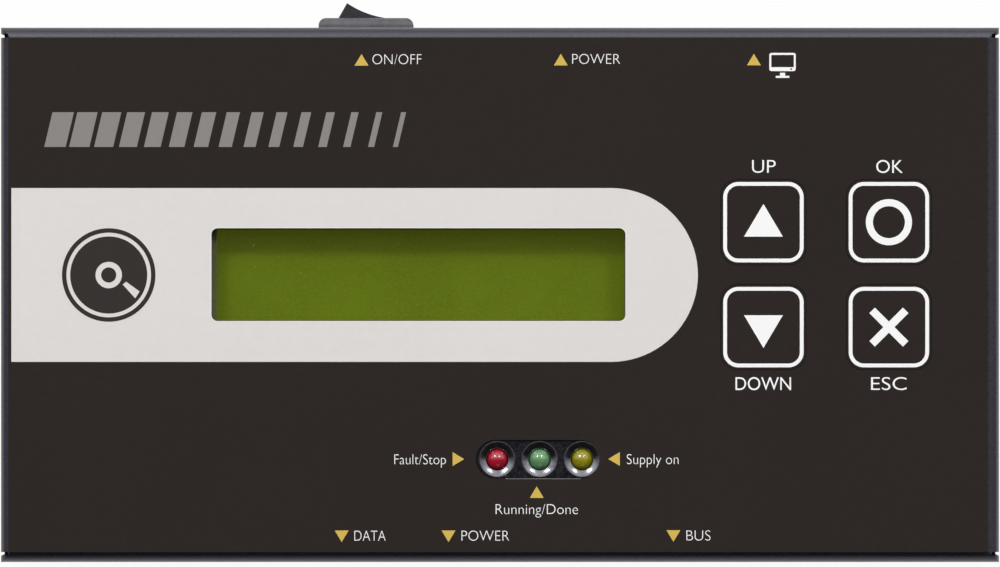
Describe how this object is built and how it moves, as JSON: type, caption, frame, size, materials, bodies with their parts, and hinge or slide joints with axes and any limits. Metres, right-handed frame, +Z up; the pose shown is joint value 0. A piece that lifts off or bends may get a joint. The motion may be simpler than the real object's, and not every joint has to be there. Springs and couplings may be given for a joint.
{
  "type": "drive erasing station",
  "caption": "Flat steel-cased drive erasing station with a character display, status lamps, push keys, a rocker switch and sockets for drive data and power.",
  "frame": {"origin": "bottom centre of the bounding box, on the surface that the feet stand on", "axes": "+X to the operator's right along the long side, +Y to the rear wall with the rocker switch, +Z up through the display and keys"},
  "size_m": [0.158, 0.0886, 0.037],
  "materials": {
    "case_paint": "fine textured powder coat",
    "base_paint": "fine textured powder coat",
    "screw_steel": "blackened",
    "foot_rubber": "matte",
    "overlay_film": "printed film",
    "cap_plastic": "moulded",
    "switch_black": "moulded",
    "lamp_plastic": "polished",
    "lamp_red": "tinted, clear",
    "lamp_green": "tinted, clear",
    "lamp_yellow": "tinted, clear",
    "tinned": "tinned",
    "gold": "plated",
    "clear_pane": "clear, polished",
    "lcd_glass": "polished",
    "lcd_bezel": "satin",
    "light_guide": "diffuse",
    "board_green": "solder mask",
    "brass_post": "turned",
    "chip_black": "moulded",
    "can_metal": "drawn",
    "coil_grey": "ferrite",
    "socket_black": "moulded",
    "shell_steel": "plated",
    "rocker_black": "moulded",
    "contact_copper": "rolled",
    "wire_red": "insulated",
    "cable_white": "laminated"
  },
  "bodies": {
    "housing": {"top_cover": "case_paint", "base_plate": "base_paint", "cover_screws": "screw_steel", "rubber_feet": "foot_rubber", "overlay": "overlay_film", "tact_switches": "switch_black", "led_bezel": "lamp_plastic", "led_red": "lamp_red", "led_green": "lamp_green", "led_yellow": "lamp_yellow", "led_leads": "tinned", "window_pane": "clear_pane", "lcd_bezel": "lcd_bezel", "lcd_glass": "lcd_glass", "lcd_backlight": "light_guide", "lcd_board": "board_green", "lcd_pins": "gold", "lcd_socket": "socket_black", "lcd_standoffs": "brass_post", "panel_standoffs": "brass_post", "main_standoffs": "brass_post", "board_screws": "tinned", "panel_board": "board_green", "main_board": "board_green", "controller_chip": "chip_black", "memory_chips": "chip_black", "capacitors": "can_metal", "power_coil": "coil_grey", "data_socket": "socket_black", "data_contacts": "gold", "drive_power_header": "socket_black", "drive_power_pins": "tinned", "ribbon_header": "socket_black", "ribbon_pins": "gold", "host_shell": "shell_steel", "host_body": "socket_black", "host_contacts": "gold", "jack_body": "socket_black", "jack_pin": "tinned", "switch_housing": "switch_black", "switch_terminals": "tinned", "switch_wires": "wire_red", "switch_header": "cable_white", "flat_cable": "cable_white", "cable_sockets": "switch_black"},
    "rocker": {"rocker": "rocker_black", "rocker_plunger": "tinned"},
    "switch_lever": {"switch_lever": "contact_copper"},
    "key_up": {"key_up_patch": "overlay_film", "key_up_cap": "cap_plastic", "key_up_stem": "switch_black"},
    "key_ok": {"key_ok_patch": "overlay_film", "key_ok_cap": "cap_plastic", "key_ok_stem": "switch_black"},
    "key_down": {"key_down_patch": "overlay_film", "key_down_cap": "cap_plastic", "key_down_stem": "switch_black"},
    "key_esc": {"key_esc_patch": "overlay_film", "key_esc_cap": "cap_plastic", "key_esc_stem": "switch_black"}
  },
  "joints": [
    {"name": "rocker_tilt", "type": "hinge", "parent": "housing", "child": "rocker", "pos_m": [-0.0213, 0.03826, 0.019], "axis": [0, 0, 1], "range_deg": [0, 32]},
    {"name": "lever_tilt", "type": "hinge", "parent": "housing", "child": "switch_lever", "pos_m": [-0.0213, 0.03366, 0.019], "axis": [0, 0, 1], "range_deg": [-16, 0]},
    {"name": "key_up_press", "type": "slide", "parent": "housing", "child": "key_up", "axis": [0, 0, -1], "range_m": [0, 0.0005], "stiffness_N_per_m": 4000},
    {"name": "key_ok_press", "type": "slide", "parent": "housing", "child": "key_ok", "axis": [0, 0, -1], "range_m": [0, 0.0005], "stiffness_N_per_m": 4000},
    {"name": "key_down_press", "type": "slide", "parent": "housing", "child": "key_down", "axis": [0, 0, -1], "range_m": [0, 0.0005], "stiffness_N_per_m": 4000},
    {"name": "key_esc_press", "type": "slide", "parent": "housing", "child": "key_esc", "axis": [0, 0, -1], "range_m": [0, 0.0005], "stiffness_N_per_m": 4000}
  ],
  "couplings": [
    {"joint": "lever_tilt", "follows": "rocker_tilt", "ratio": -0.5}
  ]
}
